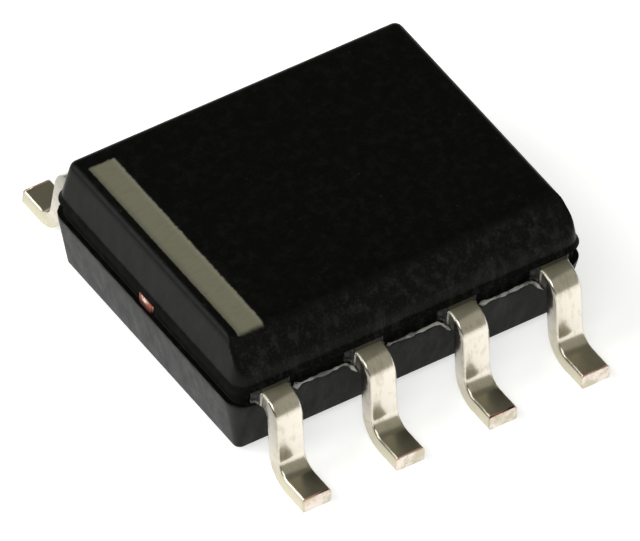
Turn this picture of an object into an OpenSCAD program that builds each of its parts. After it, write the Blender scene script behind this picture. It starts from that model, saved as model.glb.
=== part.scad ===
// Eight-lead small outline package: a moulded body with a bevelled long edge over a formed lead frame, which
// carries a die on a sunk pad, wired to eight gull-wing leads. X runs along the rows of leads, Y across them,
// and Z up from the board. The origin is on the board, under the middle of the body. Sizes are in millimetres.

/* [Moulded body] */
// Length of the body at its widest, along the rows of leads
body_length = 4.8; // [4.6:0.05:5.2]
// Width of the body at its widest, across the rows of leads
body_width = 3.9; // [3.8:0.05:4.2]
// Height of the upper half of the moulding, above the lead frame
upper_height = 0.58; // [0.5:0.02:0.8]
// Height of the lower half of the moulding, below the lead frame
lower_height = 0.8; // [0.6:0.02:0.9]
// Gap between the board and the underside of the body
standoff = 0.12; // [0.05:0.01:0.25]
// Slope of the mould's walls from upright, in degrees
draft_angle = 11; // [6:1:13]
// Radius of the arcs that round the body's upright corners, at the lead frame
corner_radius = 0.24; // [0.22:0.01:0.32]
// Width of the small 45 degree break along the edges of the top and the underside
edge_break = 0.03; // [0.01:0.005:0.04]
// Width of the 45 degree bevel, from where the top's edge by leads 1 to 4 would be
bevel_width = 0.3; // [0.15:0.01:0.36]
// How far the upper half's rim stands back from the lower half's rim
mould_step = 0.03; // [0.01:0.01:0.06]
// How far the strip between the two rims stands back from the upper rim
strip_recess = 0.03; // [0.01:0.01:0.06]
// Size of the resin fillets that stay beside each lead when the frame is trimmed
fillet_size = 0.07; // [0.04:0.005:0.075]
// Width of the stub of resin at the mould's gate, in the strip at the lead 4 end
gate_width = 0.6; // [0.3:0.05:0.8]
// Distance of the gate's middle from the body's long centre line
gate_offset = 0.95; // [0.8:0.05:1.1]
// How far the gate's stub stands out of the recessed strip
gate_stub = 0.045; // [0.01:0.005:0.05]

/* [Marks in the moulding] */
// Width of the etched stripe at the lead 1 end of the top
stripe_width = 0.37; // [0.2:0.01:0.6]
// Distance from the top's lead 1 end to the stripe
stripe_inset = 0.13; // [0.08:0.01:0.4]
// Distance from the stripe's far end to the top's edge by leads 5 to 8
stripe_margin = 0.2; // [0.1:0.01:0.6]
// Depth of the etched stripe
stripe_depth = 0.012; // [0.006:0.002:0.03]
// Diameter of the ejector pin's mark in the underside
ejector_diameter = 1; // [0.6:0.05:1.4]
// Depth of the ejector pin's mark
ejector_depth = 0.03; // [0.01:0.005:0.06]

/* [Lead frame] */
// Thickness of the copper sheet that the lead frame is stamped from
frame_thickness = 0.2; // [0.15:0.01:0.25]
// Distance between neighbouring leads
lead_pitch = 1.27; // [1.15:0.01:1.35]
// Width of each lead outside the body
lead_width = 0.38; // [0.3:0.01:0.48]
// Width over the toes of both rows of leads
lead_span = 5.86; // [5.8:0.02:6.3]
// Flat run of each lead from the body to its first bend
shoulder_run = 0.12; // [0.12:0.01:0.24]
// Inside radius of a lead's first bend, at its shoulder
bend_radius = 0.11; // [0.06:0.01:0.16]
// Inside radius of a lead's second bend, at its heel
heel_radius = 0.2; // [0.1:0.01:0.24]
// Slope of a lead's leg from level, in degrees
leg_angle = 82; // [76:1:86]
// Width along the lead of the stub left where the dam bar was cut away
dam_bar_width = 0.04; // [0.02:0.005:0.04]
// How far a dam bar stub stands out from the side of its lead
dam_bar_stub = 0.015; // [0.01:0.005:0.04]
// Width of the widened inner end of leads 2, 3, 6 and 7
finger_width = 0.6; // [0.5:0.02:0.8]
// Length of the narrow neck of each lead inside the recessed strip
neck_length = 0.18; // [0.1:0.01:0.22]
// Length over which leads 2, 3, 6 and 7 widen behind the neck
flare_length = 0.12; // [0.08:0.01:0.2]
// Gap between the inner end of a lead and the die pad
finger_gap = 0.2; // [0.12:0.01:0.26]
// Distance from the body's long centre line to the inner end of a corner lead
corner_finger_end = 0.45; // [0.3:0.01:0.6]
// Width of a corner lead at its inner end
corner_finger_tip = 0.35; // [0.25:0.01:0.45]
// Diameter of the hole that locks each corner lead in the moulding
lock_hole_diameter = 0.2; // [0.1:0.01:0.24]

/* [Die pad] */
// Length of the die pad
pad_length = 2.3; // [2.1:0.05:2.5]
// Width of the die pad
pad_width = 1.9; // [1.6:0.05:2.1]
// How far the die pad is sunk below the leads
pad_downset = 0.15; // [0.08:0.01:0.25]
// Width of the two tie bars that carry the pad
tie_bar_width = 0.26; // [0.2:0.01:0.4]
// Level distance that a tie bar takes to step up from the pad to the leads
tie_bar_step = 0.18; // [0.1:0.01:0.3]
// How far the cut end of a tie bar stands out of the recessed strip
tie_bar_stub = 0.03; // [0.01:0.005:0.06]

/* [Die and bond wires] */
// Length of the die
die_length = 1.6; // [1.2:0.05:1.9]
// Width of the die
die_width = 1.2; // [0.9:0.05:1.5]
// Thickness of the die
die_thickness = 0.25; // [0.15:0.01:0.3]
// Thickness of the adhesive under the die
attach_thickness = 0.025; // [0.015:0.005:0.05]
// How far the adhesive is squeezed out past the die
attach_margin = 0.05; // [0.02:0.01:0.12]
// Diameter of the bond wires
wire_diameter = 0.03; // [0.02:0.002:0.04]
// How much thicker the neck of wire above the ball is on each side
neck_swell = 0.004; // [0.003:0.001:0.008]
// Diameter of the ball that joins a wire to the die
ball_diameter = 0.08; // [0.06:0.005:0.1]
// Height of the flattened ball
ball_height = 0.02; // [0.012:0.002:0.03]
// Height of the straight neck of wire above the ball
wire_neck = 0.04; // [0.02:0.005:0.08]
// Radius of the loop at the top of a wire
wire_loop_radius = 0.06; // [0.04:0.005:0.1]
// Distance from the die's edge to the middle of a bond
bond_inset = 0.1; // [0.07:0.01:0.16]
// Distance from the end of a lead to the middle of its bond
bond_setback = 0.12; // [0.08:0.01:0.16]
// Diameter of the flattened stitch that joins a wire to its lead
stitch_diameter = 0.07; // [0.05:0.005:0.09]
// Height of the flattened stitch
stitch_height = 0.008; // [0.005:0.001:0.012]

/* [Hidden] */
$fn = 48;
leads_per_row = 4;
lead_count = 2 * leads_per_row;

// Levels above the board
frame_bottom = standoff + lower_height;
frame_top = frame_bottom + frame_thickness;
body_top = frame_top + upper_height;
pad_bottom = frame_bottom - pad_downset;
pad_top = pad_bottom + frame_thickness;
die_bottom = pad_top + attach_thickness;
die_top = die_bottom + die_thickness;

// Outlines of the moulding's halves
upper_length = body_length - 2 * mould_step;
upper_width = body_width - 2 * mould_step;
upper_radius = corner_radius - mould_step;
strip_length = upper_length - 2 * strip_recess;
strip_width = upper_width - 2 * strip_recess;
strip_radius = upper_radius - strip_recess;
upper_draft = upper_height * tan(draft_angle);
top_end = upper_length / 2 - upper_draft - edge_break;
top_side = upper_width / 2 - upper_draft - edge_break;
bevel_edge = upper_width / 2 - upper_draft - bevel_width;

// Formed leads, with their distances taken outwards from the recessed strip
exit_side = strip_width / 2;
lead_reach = lead_span / 2 - exit_side;
leg_lean = 90 - leg_angle;
bend_shift = bend_radius + frame_thickness + heel_radius;
leg_length = (frame_bottom - bend_shift + bend_shift * sin(leg_lean)) / cos(leg_lean);
heel_at = shoulder_run + bend_shift * cos(leg_lean) + leg_length * sin(leg_lean);

// Inner ends of the leads
finger_end = pad_width / 2 + finger_gap;
corner_finger_inner = pad_length / 2 + finger_gap;

// How far a cut runs past the surface that it opens
cut_over = 1;
// How far the tool that rounds a corner of the moulding runs past it
trim = 0.02;
// How far a corner's arc would rise past the walls that it meets, so that it meets them at a clear angle
corner_rise = 0.015;
// How far the formed part of a lead runs into its stamped inner end
lead_root = 0.2;
// How far a lead's leg runs into the bends at its ends, so that they are one piece
weld = 0.001;
// How far below the top of the neck a wire's arc starts, in degrees
arc_overlap = 10;

// A block with upright rounded corners, standing on level 0
module rounded_slab(length, width, height, radius) {
    translate([-length / 2, -width / 2 + radius, 0])
        cube([length, width - 2 * radius, height]);
    translate([-length / 2 + radius, -width / 2, 0])
        cube([length - 2 * radius, width, height]);
    for (x = [-1, 1], y = [-1, 1])
        translate([x * (length / 2 - radius), y * (width / 2 - radius), 0])
            cylinder(h = height, r = radius);
}

// One half of the moulding, which stands on its rim on level 0
module drafted_half(length, width, height, radius) {
    difference() {
        intersection() {
            rotate([90, 0, 0])
                linear_extrude(height = width + cut_over, center = true)
                    drafted_section(length, height);
            rotate([90, 0, 90])
                linear_extrude(height = length + cut_over, center = true)
                    drafted_section(width, height);
        }
        for (x = [0, 1], y = [0, 1])
            mirror([x, 0, 0])
                mirror([0, y, 0])
                    translate([length / 2 - radius + corner_rise, width / 2 - radius + corner_rise, 0])
                        corner_waste(height, radius);
    }
}

// The section of a half of the moulding, with drafted walls and with its top edges broken
module drafted_section(width, height) {
    inset = height * tan(draft_angle);
    wall_end = (height - edge_break) * tan(draft_angle);
    polygon([
        [-width / 2, 0],
        [width / 2, 0],
        [width / 2 - wall_end, height - edge_break],
        [width / 2 - inset - edge_break, height],
        [-width / 2 + inset + edge_break, height],
        [-width / 2 + wall_end, height - edge_break]
    ]);
}

// What a drafted arc about the Z axis leaves outside it in the +X, +Y quarter
module corner_waste(height, radius) {
    slope = tan(draft_angle);
    difference() {
        translate([0, 0, -trim])
            cube([radius + trim, radius + trim, height + 2 * trim]);
        translate([0, 0, -2 * trim])
            cylinder(
                h = height + 4 * trim,
                r1 = radius + 2 * trim * slope,
                r2 = radius - (height + 2 * trim) * slope
            );
    }
}

// What lies outside a 45 degree plane that runs along X and meets the given level at y = -edge
module slanted_cut(edge, level, length) {
    rotate([90, 0, 90])
        linear_extrude(height = length + cut_over, center = true)
            polygon([
                [-edge, level],
                [-edge - cut_over, level - cut_over],
                [-edge - cut_over, level + cut_over],
                [-edge, level + cut_over]
            ]);
}

// The moulding before the lead frame takes its room
module body_block() {
    translate([0, 0, frame_top])
        drafted_half(upper_length, upper_width, upper_height, upper_radius);
    translate([0, 0, frame_bottom])
        rounded_slab(strip_length, strip_width, frame_thickness, strip_radius);
    translate([0, 0, frame_bottom])
        mirror([0, 0, 1])
            drafted_half(body_length, body_width, lower_height, corner_radius);
    for (n = [1 : lead_count])
        at_lead(n)
            resin_fillets();
    mould_gate();
}

// Small webs of resin in both corners between a lead and the recessed strip
module resin_fillets() {
    feather = fillet_size / 6;
    for (side = [0, 1])
        mirror([side, 0, 0])
            translate([lead_width / 2, -exit_side - fillet_size, frame_bottom])
                linear_extrude(height = frame_thickness)
                    difference() {
                        square([fillet_size, fillet_size + strip_recess]);
                        translate([fillet_size, 0])
                            circle(r = fillet_size - feather);
                    }
}

// The stub left in the recessed strip where the resin entered the mould
module mould_gate() {
    translate([strip_length / 2 - gate_stub, gate_offset - gate_width / 2, frame_bottom])
        cube([2 * gate_stub, gate_width, frame_thickness]);
}

module etched_stripe() {
    translate([-top_end + stripe_inset, -bevel_edge - cut_over, body_top - stripe_depth])
        cube([stripe_width, bevel_edge + cut_over + top_side - stripe_margin, cut_over]);
}

module ejector_mark() {
    translate([0, 0, standoff - cut_over])
        cylinder(h = cut_over + ejector_depth, d = ejector_diameter);
}

module moulded_body() {
    color([0.09, 0.09, 0.095])
        difference() {
            body_block();
            slanted_cut(bevel_edge, body_top, body_length);
            etched_stripe();
            ejector_mark();
            for (n = [1 : lead_count]) {
                lead(n);
                bond_wire(n);
            }
            pad_shape();
            attach_shape();
            die_shape();
        }
}

// Places a lead's own frame, in which the lead lies on x = 0 and points to -Y. Leads 1 to 4 run along +X on
// the -Y side, and leads 5 to 8 run back along the +Y side.
module at_lead(n) {
    in_row = (n - 1) % leads_per_row;
    rotate([0, 0, n > leads_per_row ? 180 : 0])
        translate([(in_row - (leads_per_row - 1) / 2) * lead_pitch, 0, 0])
            children();
}

// The side view of a formed lead, with x outwards from the recessed strip and y up from the board
module lead_profile() {
    translate([-lead_root, frame_bottom])
        square([shoulder_run + lead_root, frame_thickness]);
    translate([shoulder_run, frame_bottom - bend_radius])
        bend_section(bend_radius, leg_lean, 90);
    translate([shoulder_run, frame_bottom - bend_radius])
        rotate(leg_lean)
            translate([bend_radius, -leg_length - weld])
                square([frame_thickness, leg_length + 2 * weld]);
    translate([heel_at, frame_thickness + heel_radius])
        bend_section(heel_radius, 180 + leg_lean, 270);
    translate([heel_at, 0])
        square([lead_reach - heel_at, frame_thickness]);
}

// Part of a ring as thick as the frame, with the given inside radius, from one angle to another
module bend_section(inside, from, to) {
    outside = inside + frame_thickness;
    far = 2 * outside;
    middle = (from + to) / 2;
    intersection() {
        difference() {
            circle(r = outside);
            circle(r = inside);
        }
        polygon([
            [0, 0],
            far * [cos(from), sin(from)],
            far * [cos(middle), sin(middle)],
            far * [cos(to), sin(to)]
        ]);
    }
}

// Stubs on both sides of a lead's shoulder, just before its bend, where the dam bar was cut away
module dam_bar_stubs() {
    width = lead_width + 2 * dam_bar_stub;
    translate([-width / 2, -exit_side - shoulder_run, frame_bottom])
        cube([width, dam_bar_width, frame_thickness]);
}

// The plan of the inner end of leads 2, 3, 6 and 7
module middle_finger() {
    neck_end = exit_side - neck_length;
    polygon([
        [-lead_width / 2, -exit_side],
        [lead_width / 2, -exit_side],
        [lead_width / 2, -neck_end],
        [finger_width / 2, -neck_end + flare_length],
        [finger_width / 2, -finger_end],
        [-finger_width / 2, -finger_end],
        [-finger_width / 2, -neck_end + flare_length],
        [-lead_width / 2, -neck_end]
    ]);
}

// The plan of the inner end of leads 1 and 5, which reaches in beside the end of the die pad
module corner_finger() {
    neck_end = exit_side - neck_length;
    inner = (leads_per_row - 1) / 2 * lead_pitch - corner_finger_inner;
    difference() {
        polygon([
            [-lead_width / 2, -exit_side],
            [lead_width / 2, -exit_side],
            [lead_width / 2, -neck_end],
            [inner, -neck_end + (inner - lead_width / 2)],
            [inner, -corner_finger_end],
            [inner - corner_finger_tip, -corner_finger_end],
            [-lead_width / 2, -finger_end]
        ]);
        translate([lead_width / 4, -neck_end + lead_width / 2])
            circle(d = lock_hole_diameter);
    }
}

module lead(n) {
    in_row = (n - 1) % leads_per_row;
    at_lead(n) {
        translate([-lead_width / 2, -exit_side, 0])
            rotate([90, 0, 90])
                linear_extrude(height = lead_width)
                    mirror([1, 0])
                        lead_profile();
        dam_bar_stubs();
        translate([0, 0, frame_bottom])
            linear_extrude(height = frame_thickness)
                if (in_row == 0)
                    corner_finger();
                else if (in_row == leads_per_row - 1)
                    mirror([1, 0])
                        corner_finger();
                else
                    middle_finger();
    }
}

module tinned_lead(n) {
    color([0.75, 0.74, 0.68])
        lead(n);
}

// The side view of one tie bar, which steps up from the pad to the leads' level
module tie_bar_profile() {
    root = pad_length / 2 - tie_bar_width;
    foot = pad_length / 2 + frame_thickness / 2;
    head = foot + tie_bar_step;
    tip = strip_length / 2 + tie_bar_stub;
    polygon([
        [root, pad_bottom],
        [foot, pad_bottom],
        [head, frame_bottom],
        [tip, frame_bottom],
        [tip, frame_top],
        [head, frame_top],
        [foot, pad_top],
        [root, pad_top]
    ]);
}

module pad_shape() {
    translate([-pad_length / 2, -pad_width / 2, pad_bottom])
        cube([pad_length, pad_width, frame_thickness]);
    for (turn = [0, 180])
        rotate([90, 0, turn])
            linear_extrude(height = tie_bar_width, center = true)
                tie_bar_profile();
}

module die_pad() {
    color([0.78, 0.5, 0.36])
        pad_shape();
}

module attach_shape() {
    length = die_length + 2 * attach_margin;
    width = die_width + 2 * attach_margin;
    translate([0, 0, pad_top])
        rounded_slab(length, width, attach_thickness, attach_margin);
}

module die_attach() {
    color([0.8, 0.8, 0.78])
        attach_shape();
}

module die_shape() {
    translate([-die_length / 2, -die_width / 2, die_bottom])
        cube([die_length, die_width, die_thickness]);
}

module die() {
    color([0.35, 0.38, 0.42])
        die_shape();
}

// Where a wire meets the die and where it meets its lead, for a row's first or second lead
function bond_on_die(corner) =
    corner
        ? [-die_length / 2 + bond_inset, -die_width / 4]
        : [-die_length / 4, -die_width / 2 + bond_inset];
function bond_on_lead(corner) =
    corner
        ? [-corner_finger_inner - bond_setback, -corner_finger_end - bond_setback]
        : [-lead_pitch / 2, -finger_end - bond_setback];

// A looped wire: a flattened ball and a neck on the die, an arc over the top, and a straight run down to the
// lead, which is the tangent from the lead's bond to the arc
module looped_wire(corner) {
    start = bond_on_die(corner);
    run = bond_on_lead(corner) - start;
    heading = atan2(run[1], run[0]);
    neck_top = die_top + ball_height + wire_neck;
    across = norm(run) - wire_loop_radius;
    drop = neck_top - frame_top;
    to_lead = norm([across, drop]);
    slope = atan2(drop, across) + asin(wire_loop_radius / to_lead);
    straight = sqrt(to_lead * to_lead - wire_loop_radius * wire_loop_radius);
    translate([start[0], start[1], 0])
        rotate([0, 0, heading]) {
            translate([0, 0, die_top])
                cylinder(h = ball_height, d = ball_diameter);
            translate([0, 0, die_top])
                cylinder(h = neck_top - die_top, d = wire_diameter + 2 * neck_swell);
            translate([wire_loop_radius, 0, neck_top])
                rotate([90, 0, 0])
                    rotate([0, 0, 90 - slope])
                        rotate_extrude(angle = 90 + slope + arc_overlap)
                            translate([wire_loop_radius, 0])
                                circle(d = wire_diameter);
            translate([norm(run), 0, frame_top])
                cylinder(h = stitch_height, d = stitch_diameter);
            difference() {
                translate([wire_loop_radius, 0, neck_top])
                    rotate([0, slope, 0])
                        translate([0, 0, wire_loop_radius])
                            rotate([0, 90, 0])
                                cylinder(h = straight + wire_diameter, d = wire_diameter);
                translate([0, -cut_over / 2, frame_top - cut_over])
                    cube([2 * norm(run), cut_over, cut_over]);
            }
        }
}

module bond_wire(n) {
    in_row = (n - 1) % leads_per_row;
    far_half = in_row >= leads_per_row / 2;
    corner = in_row == 0 || in_row == leads_per_row - 1;
    rotate([0, 0, n > leads_per_row ? 180 : 0])
        mirror([far_half ? 1 : 0, 0, 0])
            looped_wire(corner);
}

module gold_wire(n) {
    color([0.9, 0.72, 0.3])
        bond_wire(n);
}

moulded_body();
tinned_lead(1);  // lead_1
tinned_lead(2);  // lead_2
tinned_lead(3);  // lead_3
tinned_lead(4);  // lead_4
tinned_lead(5);  // lead_5
tinned_lead(6);  // lead_6
tinned_lead(7);  // lead_7
tinned_lead(8);  // lead_8
die_pad();
die_attach();
die();
gold_wire(1);  // bond_wire_1
gold_wire(2);  // bond_wire_2
gold_wire(3);  // bond_wire_3
gold_wire(4);  // bond_wire_4
gold_wire(5);  // bond_wire_5
gold_wire(6);  // bond_wire_6
gold_wire(7);  // bond_wire_7
gold_wire(8);  // bond_wire_8
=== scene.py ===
import math
import random

import bmesh
import bpy
from bpy.props import FloatProperty, FloatVectorProperty, PointerProperty
from mathutils import Matrix, Vector, noise


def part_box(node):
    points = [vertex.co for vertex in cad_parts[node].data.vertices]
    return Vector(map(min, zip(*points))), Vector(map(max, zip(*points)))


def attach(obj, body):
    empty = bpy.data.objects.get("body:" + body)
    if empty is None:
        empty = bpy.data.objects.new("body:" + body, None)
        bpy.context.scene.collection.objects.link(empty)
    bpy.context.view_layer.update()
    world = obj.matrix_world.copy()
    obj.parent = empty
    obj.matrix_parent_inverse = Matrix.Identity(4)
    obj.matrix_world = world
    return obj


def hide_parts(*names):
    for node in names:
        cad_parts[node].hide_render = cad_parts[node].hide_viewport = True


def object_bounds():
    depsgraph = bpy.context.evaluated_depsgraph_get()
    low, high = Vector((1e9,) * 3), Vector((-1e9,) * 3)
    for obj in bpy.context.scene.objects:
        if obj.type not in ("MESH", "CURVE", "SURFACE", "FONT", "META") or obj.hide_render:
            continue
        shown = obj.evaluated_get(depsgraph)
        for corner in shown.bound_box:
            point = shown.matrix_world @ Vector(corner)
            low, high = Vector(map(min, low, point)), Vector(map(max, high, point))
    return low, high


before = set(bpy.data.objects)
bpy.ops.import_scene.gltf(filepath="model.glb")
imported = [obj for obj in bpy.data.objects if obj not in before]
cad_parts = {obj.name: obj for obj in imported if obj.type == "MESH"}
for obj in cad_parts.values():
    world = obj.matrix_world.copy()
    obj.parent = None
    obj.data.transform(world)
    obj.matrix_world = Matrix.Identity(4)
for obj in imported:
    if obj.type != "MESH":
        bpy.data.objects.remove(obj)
CAD_LOW, CAD_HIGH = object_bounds()

bl_info = {
    "name": "Small outline chip",
    "version": (1, 0, 0),
    "blender": (4, 5, 0),
    "location": "3D View > Sidebar > Chip",
    "description": "Builds the looks of an eight-lead small outline chip round its packed model",
    "category": "Object",
}

ROOT = "root"
MM = 0.001
MICRON = 0.000001
LEADS = 8
ROW = LEADS // 2

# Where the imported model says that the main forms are
BODY_LOW, BODY_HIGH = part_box("moulded_body")
PAD_LOW, PAD_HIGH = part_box("die_pad")
LEAD_LOW, LEAD_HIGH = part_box("lead_3")
PITCH = (LEAD_LOW + LEAD_HIGH).x
TOE = -LEAD_LOW.y
FRAME_TOP = LEAD_HIGH.z

# The leads' underside, which is as far above the die pad's as the pad is sunk
SINK = 0.15 * MM
FRAME_BASE = PAD_LOW.z + SINK

# Each lead's number, its place in its row, and -1 for the row that is turned round
PLACES = [(n, (n - 1) % ROW, 1 if n <= ROW else -1) for n in range(1, LEADS + 1)]

# Each lamp's name, its azimuth and elevation in degrees, and its width
LEFT_LAMP = ("left_lamp", -118, 36, 0.3)
FRONT_LAMP = ("front_lamp", -48, 55, 0.25)
FILL_LAMP = ("front_fill", 36, 30, 0.6)
LAMP_DISTANCE = 0.4

# Width of the camera's film, in millimetres
FILM_WIDTH = 36


def size(name, description, default):
    """A size that a user may change, in metres."""
    return FloatProperty(name=name, description=description, default=default, unit="LENGTH", precision=6, min=0)


def angle(name, description, degrees):
    """An angle that a user may change."""
    return FloatProperty(name=name, description=description, default=math.radians(degrees), subtype="ANGLE")


def share(name, description, default, most=1.0):
    """A plain number that a user may change."""
    return FloatProperty(name=name, description=description, default=default, min=0, max=most)


def colour(name, description, default):
    """A colour that a user may change."""
    return FloatVectorProperty(name=name, description=description, default=default, subtype="COLOR", min=0, max=1)


class MouldingSettings(bpy.types.PropertyGroup):
    """Sizes and colours of the moulded body."""

    width: size("Width", "Width of the body at its widest", 3.9 * MM)
    draft: angle("Draft", "Slope of the mould's walls from upright", 11)
    edge_break: size("Edge break", "Width of the break along the top's edges", 0.03 * MM)
    step: size("Rim step", "How far the upper rim stands back from the lower one", 0.03 * MM)
    recess: size("Strip recess", "How far the strip between the rims stands back", 0.045 * MM)
    corner: size("Corner radius", "Radius of the upright corners at the lower rim", 0.24 * MM)
    bevel: size("Bevel", "Width of the bevel along the side of lead 1", 0.3 * MM)
    top_round: size("Top rounding", "Radius of the top's edges", 0.1 * MM)
    bevel_round: size("Bevel rounding", "Softness of the bevel's upper edge", 0.05 * MM)
    base_round: size("Base rounding", "Radius of the underside's edges", 0.035 * MM)
    rim_flare: size("Rim flare", "Height over which the upper wall runs out to its rim", 0.075 * MM)
    rim_round: size("Rim rounding", "Radius of the edges of the two rims", 0.009 * MM)
    stripe_width: size("Stripe width", "Width of the etched stripe", 0.345 * MM)
    stripe_inset: size("Stripe inset", "Distance from the top's end to the stripe", 0.1 * MM)
    stripe_margin: size("Stripe margin", "Distance from the stripe to the far edge", 0.2 * MM)
    stripe_depth: size("Stripe depth", "Depth of the etched stripe", 0.008 * MM)
    fillet: size("Fillet", "Size of the resin webs beside each lead", 0.07 * MM)
    flash: size("Flash", "Thickness of the flash on the lower rim", 0.055 * MM)
    flash_gap: size("Flash gap", "Distance from a lead to where the flash starts", 0.1 * MM)
    flash_tail: size("Flash tail", "How far the flash runs out beside the next lead", 0.15 * MM)
    gate_width: size("Gate width", "Width of the stub at the mould's gate", 0.6 * MM)
    gate_offset: size("Gate offset", "Distance of the gate from the centre line", 0.95 * MM)
    gate_stub: size("Gate stub", "How far the gate's stub stands out", 0.045 * MM)
    ejector: size("Ejector mark", "Diameter of the ejector pin's mark", 1.0 * MM)
    ejector_depth: size("Ejector depth", "Depth of the ejector pin's mark", 0.03 * MM)
    compound: colour("Compound", "Colour of the moulding compound", (0.0012, 0.0017, 0.001))
    worn: colour("Worn compound", "Colour of the compound where it is scuffed", (0.027, 0.027, 0.028))
    etched: colour("Etched compound", "Colour of the etched stripe", (0.205, 0.2, 0.142))
    # The pale flash colour is a painted highlight: it lights the bead along the lower rim as if its edge caught the
    # light.
    thin: colour("Thin flash", "Colour of flash that is thin enough to look pale", (0.5, 0.49, 0.46))


class LeadSettings(bpy.types.PropertyGroup):
    """Sizes and colours of the leads and of what is inside."""

    thickness: size("Thickness", "Thickness of the copper sheet", 0.2 * MM)
    width: size("Width", "Width of a lead outside the body", 0.38 * MM)
    exit_side: size("Exit", "From the centre line to where a lead leaves the body", 1.89 * MM)
    shoulder: size("Shoulder", "Flat run from the body to the first bend", 0.12 * MM)
    bend: size("Bend radius", "Inside radius of the bend at the shoulder", 0.11 * MM)
    heel: size("Heel radius", "Inside radius of the bend at the heel", 0.2 * MM)
    leg: angle("Leg angle", "Slope of the leg from level", 82)
    stub: size("Dam bar stub", "How far a dam bar stub stands out", 0.015 * MM)
    stub_width: size("Dam bar width", "Width of a dam bar stub along the lead", 0.04 * MM)
    neck: size("Neck", "Length of a lead's neck inside the strip", 0.18 * MM)
    flare: size("Flare", "Length over which a middle lead widens", 0.12 * MM)
    finger: size("Finger", "Width of a middle lead's inner end", 0.6 * MM)
    gap: size("Gap", "From a lead's inner end to the die pad", 0.2 * MM)
    corner_end: size("Corner end", "From the centre line to a corner lead's inner end", 0.45 * MM)
    corner_tip: size("Corner tip", "Width of a corner lead's inner end", 0.35 * MM)
    lock_hole: size("Lock hole", "Diameter of a corner lead's lock hole", 0.2 * MM)
    tie_bar: size("Tie bar", "Width of the pad's tie bars", 0.26 * MM)
    tie_step: size("Tie bar step", "Level run of a tie bar's step", 0.18 * MM)
    pad_shape: share("Pad shape", "Length of the die pad over its width", 2.3 / 1.9, 3)
    edge: size("Edge radius", "Radius of the stamped edges", 0.04 * MM)
    tin: colour("Tin", "Colour of the tin plate", (0.84, 0.79, 0.7))
    # The darker tin is painted shade, laid on the shoulders beside the body and on the feet.
    shaded_tin: colour("Dull tin", "Colour of the tin on the feet and beside the body", (0.55, 0.52, 0.38))
    # The sheared sides' darker colour is painted shade, laid on more the higher a side is.
    sheared: colour("Sheared sides", "Colour of the tin on the leads' sheared sides", (0.25, 0.245, 0.22))
    copper: colour("Copper", "Colour of bare copper", (0.78, 0.42, 0.31))
    smeared: colour("Smeared copper", "Colour of copper with tin smeared over it", (0.92, 0.83, 0.77))
    silver: colour("Silver epoxy", "Colour of the die's adhesive", (0.55, 0.54, 0.5))
    silicon: colour("Silicon", "Colour of the die", (0.06, 0.075, 0.09))
    gold: colour("Gold", "Colour of the bond wires", (1.0, 0.7, 0.28))


class StageSettings(bpy.types.PropertyGroup):
    """The camera's place and the light's level."""

    azimuth: angle("Azimuth", "Camera's turn round the chip", -35.73)
    elevation: angle("Elevation", "Camera's height above level", 44.70)
    roll: angle("Roll", "Camera's tilt about its own axis", 3.19)
    distance: size("Distance", "From the camera to the chip", 230 * MM)
    across: size("View width", "Width of what the camera sees at the chip", 7.306 * MM)
    right: size("Aim right", "Aim to the right of the chip's middle", 0.027 * MM)
    below: size("Aim below", "Aim below the chip's middle", 0.382 * MM)
    floor_radius: size("Floor radius", "Radius of the floor", 900 * MM)
    backdrop: size("Backdrop", "Height of the backdrop round the floor", 140 * MM)
    cove: size("Cove", "Radius of the curve from the floor to the backdrop", 50 * MM)
    sky: share("Sky", "Level of the light from all round", 0.13)
    key: share("Key", "Radiance of the soft lamp on the left", 4.0, 50)
    front: share("Front", "Radiance of the soft lamp in front, over the left lamp's", 0.6)
    fill: share("Fill", "Radiance of the wide dim lamp in front, over the left lamp's", 0.055)
    sky_tint: colour("Sky tint", "Colour of the light from all round", (1.0, 0.99, 0.82))
    fill_tint: colour("Fill tint", "Colour of the wide dim lamp", (1.0, 0.97, 0.84))
    glow: share("Floor glow", "How much whiter the floor shows than its light makes it", 0.62)


class Wire:
    """An output of a shader node. Python expressions on wires add Math nodes."""

    def __init__(self, finish, socket):
        self.finish, self.socket = finish, socket

    def math(self, operation, *values):
        """The result of a Math node on this wire and the values."""
        inputs = dict(enumerate((self,) + values))
        return self.finish.add("Math", {"operation": operation}, inputs)

    def __add__(self, other):
        return self.math("ADD", other)

    __radd__ = __add__

    def __mul__(self, other):
        return self.math("MULTIPLY", other)

    __rmul__ = __mul__

    def __sub__(self, other):
        return self.math("SUBTRACT", other)

    def __rsub__(self, other):
        return self.finish.add("Math", {"operation": "SUBTRACT"}, {0: other, 1: self})

    def __truediv__(self, other):
        return self.math("DIVIDE", other)

    def __abs__(self):
        return self.math("ABSOLUTE")

    def __pow__(self, other):
        return self.math("POWER", other)

    def above(self, edge, soft):
        """0 below edge, 1 from edge + soft, and a smooth rise between them."""
        settings = {"interpolation_type": "SMOOTHSTEP"}
        return self.finish.add("MapRange", settings, {0: self, 1: edge, 2: edge + soft, 3: 0.0, 4: 1.0})

    def below(self, edge, soft):
        """1 below edge - soft, 0 from edge, and a smooth fall between them."""
        settings = {"interpolation_type": "SMOOTHSTEP"}
        return self.finish.add("MapRange", settings, {0: self, 1: edge - soft, 2: edge, 3: 1.0, 4: 0.0})


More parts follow.
